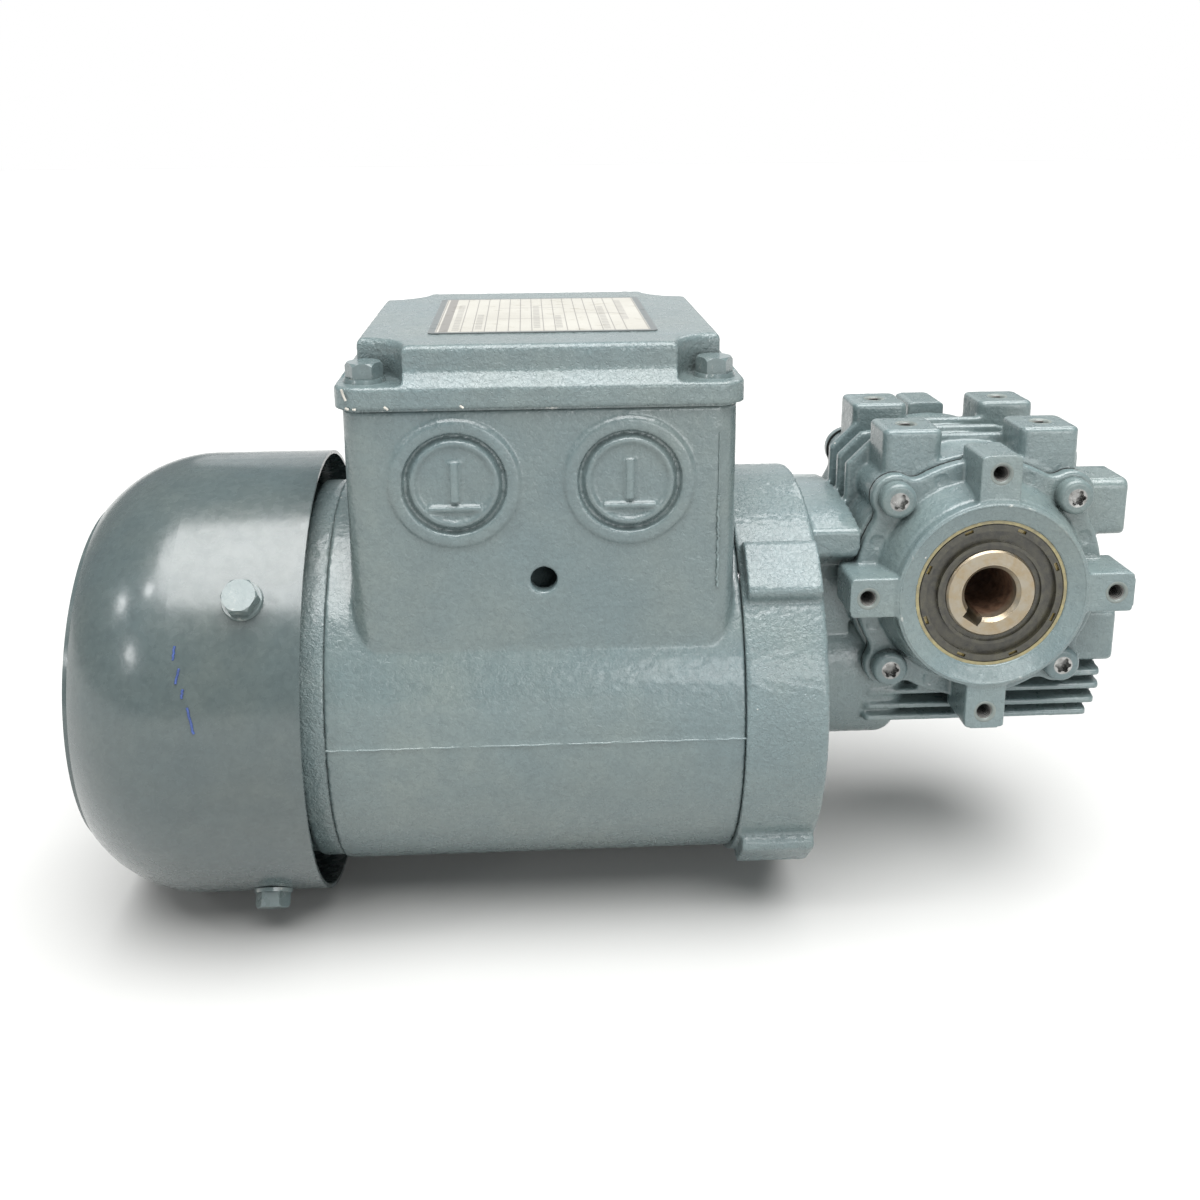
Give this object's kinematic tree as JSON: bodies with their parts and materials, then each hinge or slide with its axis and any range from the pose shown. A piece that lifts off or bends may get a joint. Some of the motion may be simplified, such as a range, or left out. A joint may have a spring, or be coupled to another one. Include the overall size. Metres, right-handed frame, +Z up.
{
  "type": "worm gear motor",
  "caption": "Electric motor in line with a worm gearbox; a keyed hollow shaft runs through the lugged gear housing, and a terminal box with a bolted lid sits on the motor.",
  "frame": {"origin": "centre of the hollow output shaft's bore, on the output axis above the motor axis", "axes": "+X along the motor axis from the fan to the gearbox, +Y along the output axis, +Z up"},
  "size_m": [0.2812, 0.124, 0.1636],
  "materials": {
    "painted_casting": "blue-grey machine enamel over die-cast aluminium",
    "painted_sheet_steel": "blue-grey machine enamel over drawn sheet steel",
    "painted_screws": "machine enamel, worn on the corners",
    "lobed_screws": "thin enamel over zinc, bare in the socket",
    "zinc_steel": "zinc plated",
    "machined_steel": "turned, with oil film and light rust in the bore",
    "lamination_steel": "stacked laminations",
    "cast_aluminium": "as cast",
    "winding_copper": "varnished enamelled wire",
    "gear_bronze": "machined bronze",
    "terminal_brass": "plain",
    "board_resin": "moulded resin",
    "fan_plastic": "moulded",
    "label_face": "printed ruled grid without text",
    "gasket_rubber": "cut sheet",
    "seal_rubber": "olive-brown nitrile rubber",
    "bearing_steel": "polished"
  },
  "bodies": {
    "housing": {"stator_housing": "painted_casting", "stator_core": "lamination_steel", "stator_windings": "winding_copper", "rear_end_shield": "painted_casting", "preload_washer": "zinc_steel", "fan_cowl": "painted_sheet_steel", "cowl_screws": "painted_screws", "terminal_box_gasket": "gasket_rubber", "terminal_box_lid": "painted_casting", "lid_screws": "painted_screws", "nameplate": "label_face", "terminal_board": "board_resin", "terminal_studs": "terminal_brass", "terminal_links": "terminal_brass", "terminal_nuts": "terminal_brass", "board_screws": "zinc_steel", "drive_end_flange": "painted_casting", "flange_screws": "zinc_steel", "adapter_screws": "zinc_steel", "shaft_seal": "seal_rubber", "gear_housing": "painted_casting", "front_cover": "painted_casting", "rear_cover": "painted_casting", "front_cover_gasket": "gasket_rubber", "rear_cover_gasket": "gasket_rubber", "front_cover_screws": "lobed_screws", "rear_cover_screws": "lobed_screws", "front_output_seal": "seal_rubber", "rear_output_seal": "seal_rubber", "output_front_bearing_outer_ring": "bearing_steel", "output_rear_bearing_outer_ring": "bearing_steel", "motor_rear_bearing_outer_ring": "bearing_steel", "motor_front_bearing_outer_ring": "bearing_steel", "worm_tail_bearing_outer_ring": "bearing_steel", "tail_bearing_clip": "zinc_steel", "worm_end_cap": "painted_sheet_steel"},
    "rotor": {"worm_shaft": "machined_steel", "rotor_core": "lamination_steel", "rotor_cage": "cast_aluminium", "fan": "fan_plastic", "fan_clip": "zinc_steel", "motor_rear_bearing_inner_ring": "bearing_steel", "motor_front_bearing_inner_ring": "bearing_steel", "worm_tail_bearing_inner_ring": "bearing_steel"},
    "output": {"hollow_output_shaft": "machined_steel", "worm_wheel": "gear_bronze", "wheel_key": "machined_steel", "wheel_clip": "zinc_steel", "output_front_bearing_inner_ring": "bearing_steel", "output_rear_bearing_inner_ring": "bearing_steel"},
    "motor_rear_bearing_balls": {"motor_rear_bearing_ball_set": "bearing_steel"},
    "motor_front_bearing_balls": {"motor_front_bearing_ball_set": "bearing_steel"},
    "worm_tail_bearing_balls": {"worm_tail_bearing_ball_set": "bearing_steel"},
    "output_front_bearing_balls": {"output_front_bearing_ball_set": "bearing_steel"},
    "output_rear_bearing_balls": {"output_rear_bearing_ball_set": "bearing_steel"}
  },
  "joints": [
    {"name": "rotor_spin", "type": "hinge", "parent": "housing", "child": "rotor", "pos_m": [-0.12, 0, -0.031], "axis": [1, 0, 0], "continuous": true},
    {"name": "output_spin", "type": "hinge", "parent": "housing", "child": "output", "pos_m": [0, 0, 0], "axis": [0, 1, 0], "continuous": true},
    {"name": "motor_rear_bearing_balls_spin", "type": "hinge", "parent": "housing", "child": "motor_rear_bearing_balls", "pos_m": [-0.185, 0, -0.031], "axis": [1, 0, 0], "continuous": true},
    {"name": "motor_front_bearing_balls_spin", "type": "hinge", "parent": "housing", "child": "motor_front_bearing_balls", "pos_m": [-0.0605, 0, -0.031], "axis": [1, 0, 0], "continuous": true},
    {"name": "worm_tail_bearing_balls_spin", "type": "hinge", "parent": "housing", "child": "worm_tail_bearing_balls", "pos_m": [0.028, 0, -0.031], "axis": [1, 0, 0], "continuous": true},
    {"name": "output_front_bearing_balls_spin", "type": "hinge", "parent": "housing", "child": "output_front_bearing_balls", "pos_m": [0, -0.0265, 0], "axis": [0, 1, 0], "continuous": true},
    {"name": "output_rear_bearing_balls_spin", "type": "hinge", "parent": "housing", "child": "output_rear_bearing_balls", "pos_m": [0, 0.0265, 0], "axis": [0, 1, 0], "continuous": true}
  ],
  "couplings": [
    {"joint": "output_spin", "follows": "rotor_spin", "ratio": 0.026316},
    {"joint": "motor_rear_bearing_balls_spin", "follows": "rotor_spin", "ratio": 0.36364},
    {"joint": "motor_front_bearing_balls_spin", "follows": "rotor_spin", "ratio": 0.38},
    {"joint": "worm_tail_bearing_balls_spin", "follows": "rotor_spin", "ratio": 0.36667},
    {"joint": "output_front_bearing_balls_spin", "follows": "rotor_spin", "ratio": 0.011273},
    {"joint": "output_rear_bearing_balls_spin", "follows": "rotor_spin", "ratio": 0.011273}
  ]
}
